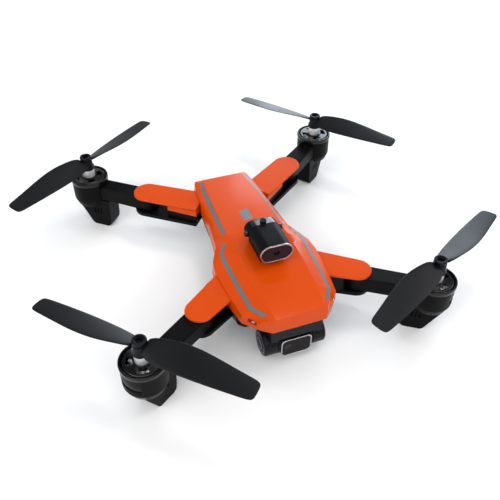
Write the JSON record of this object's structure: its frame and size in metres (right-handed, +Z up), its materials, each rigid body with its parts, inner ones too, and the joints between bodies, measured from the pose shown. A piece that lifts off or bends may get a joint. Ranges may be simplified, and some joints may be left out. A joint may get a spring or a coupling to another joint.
{
  "type": "folding camera quadcopter",
  "caption": "Folding camera quadcopter with an orange body, black arms that fold, free-spinning two-blade propellers, a tilting camera and a slide-out battery.",
  "frame": {"origin": "the middle of the flat belly face, midway between the four motor axes", "axes": "+Z up, -Y towards the nose and camera, +X towards the side on the right when the nose is faced from the front"},
  "size_m": [0.2846, 0.273, 0.0615],
  "materials": {
    "orange_shell": "glossy moulded ABS",
    "black_shell": "fine satin moulded ABS",
    "black_gloss": "glossy moulded ABS",
    "grey_stripe": "satin grey inlay",
    "light_lens": "clear violet-tinted lens",
    "lamp_window": "smoked lamp window",
    "silver_trim": "bright plated rim",
    "dark_glass": "dark polished window",
    "lens_glass": "coated lens",
    "steel": "turned steel",
    "bell_metal": "black anodised aluminium",
    "stator_metal": "bright laminations and windings",
    "blade_black": "satin moulded nylon",
    "circuit_green": "solder-masked board",
    "cell_foil": "foil pouch",
    "contact_brass": "sprung contact strip",
    "inlay_grey": "satin inlay"
  },
  "bodies": {
    "airframe": {"top_shell": "orange_shell", "bottom_shell": "black_shell", "flank_stripes": "grey_stripe", "nose_lights": "light_lens", "main_board": "circuit_green", "contact_block": "contact_brass", "belly_window": "dark_glass", "hinge_pins": "steel", "shell_screws": "steel", "sensor_housing": "black_shell", "sensor_bezel": "silver_trim", "sensor_window": "dark_glass", "sensor_knobs": "black_gloss", "camera_mount": "black_shell", "tilt_motor": "steel"},
    "camera": {"camera_head": "black_shell", "camera_trim": "silver_trim", "camera_plate": "dark_glass", "camera_lens": "lens_glass"},
    "battery": {"battery_case": "black_shell", "battery_cells": "cell_foil", "battery_lid": "orange_shell", "battery_stripes": "grey_stripe", "deck_inlay": "inlay_grey"},
    "button": {"power_button": "black_gloss"},
    "latch": {"battery_latch": "black_gloss"},
    "front_left_arm": {"arm_front_left": "black_shell", "foot_front_left": "black_shell", "pod_light_front_left": "lamp_window", "stator_front_left": "stator_metal"},
    "front_left_rotor": {"propeller_front_left": "blade_black", "motor_bell_front_left": "bell_metal", "motor_shaft_front_left": "steel"},
    "front_right_arm": {"arm_front_right": "black_shell", "foot_front_right": "black_shell", "pod_light_front_right": "lamp_window", "stator_front_right": "stator_metal"},
    "front_right_rotor": {"propeller_front_right": "blade_black", "motor_bell_front_right": "bell_metal", "motor_shaft_front_right": "steel"},
    "rear_left_arm": {"arm_rear_left": "black_shell", "foot_rear_left": "black_shell", "pod_light_rear_left": "lamp_window", "stator_rear_left": "stator_metal"},
    "rear_left_rotor": {"propeller_rear_left": "blade_black", "motor_bell_rear_left": "bell_metal", "motor_shaft_rear_left": "steel"},
    "rear_right_arm": {"arm_rear_right": "black_shell", "foot_rear_right": "black_shell", "pod_light_rear_right": "lamp_window", "stator_rear_right": "stator_metal"},
    "rear_right_rotor": {"propeller_rear_right": "blade_black", "motor_bell_rear_right": "bell_metal", "motor_shaft_rear_right": "steel"}
  },
  "joints": [
    {"name": "front_left_fold", "type": "hinge", "parent": "airframe", "child": "front_left_arm", "pos_m": [-0.0487, -0.06046, 0.0118], "axis": [0, 0, -1], "range_deg": [0, 128]},
    {"name": "front_left_spin", "type": "hinge", "parent": "front_left_arm", "child": "front_left_rotor", "pos_m": [-0.086, -0.086, 0.0326], "axis": [0, 0, 1], "continuous": true},
    {"name": "front_right_fold", "type": "hinge", "parent": "airframe", "child": "front_right_arm", "pos_m": [0.0487, -0.06046, 0.0118], "axis": [0, 0, -1], "range_deg": [-128, 0]},
    {"name": "front_right_spin", "type": "hinge", "parent": "front_right_arm", "child": "front_right_rotor", "pos_m": [0.086, -0.086, 0.0326], "axis": [0, 0, 1], "continuous": true},
    {"name": "rear_left_fold", "type": "hinge", "parent": "airframe", "child": "rear_left_arm", "pos_m": [-0.05117, 0.05719, 0.0118], "axis": [0, 0, -1], "range_deg": [-126, 0]},
    {"name": "rear_left_spin", "type": "hinge", "parent": "rear_left_arm", "child": "rear_left_rotor", "pos_m": [-0.086, 0.086, 0.0326], "axis": [0, 0, 1], "continuous": true},
    {"name": "rear_right_fold", "type": "hinge", "parent": "airframe", "child": "rear_right_arm", "pos_m": [0.05117, 0.05719, 0.0118], "axis": [0, 0, -1], "range_deg": [0, 126]},
    {"name": "rear_right_spin", "type": "hinge", "parent": "rear_right_arm", "child": "rear_right_rotor", "pos_m": [0.086, 0.086, 0.0326], "axis": [0, 0, 1], "continuous": true},
    {"name": "camera_tilt", "type": "hinge", "parent": "airframe", "child": "camera", "pos_m": [0, -0.0765, -0.0042], "axis": [1, 0, 0], "range_deg": [-15, 75]},
    {"name": "battery_slide", "type": "slide", "parent": "airframe", "child": "battery", "axis": [0, 1, 0], "range_m": [0, 0.09]},
    {"name": "power_button_press", "type": "slide", "parent": "battery", "child": "button", "axis": [0, -1, 0], "range_m": [0, 0.0008], "stiffness_N_per_m": 600},
    {"name": "battery_latch_press", "type": "slide", "parent": "battery", "child": "latch", "axis": [0, 0, 1], "range_m": [0, 0.001], "stiffness_N_per_m": 600}
  ]
}
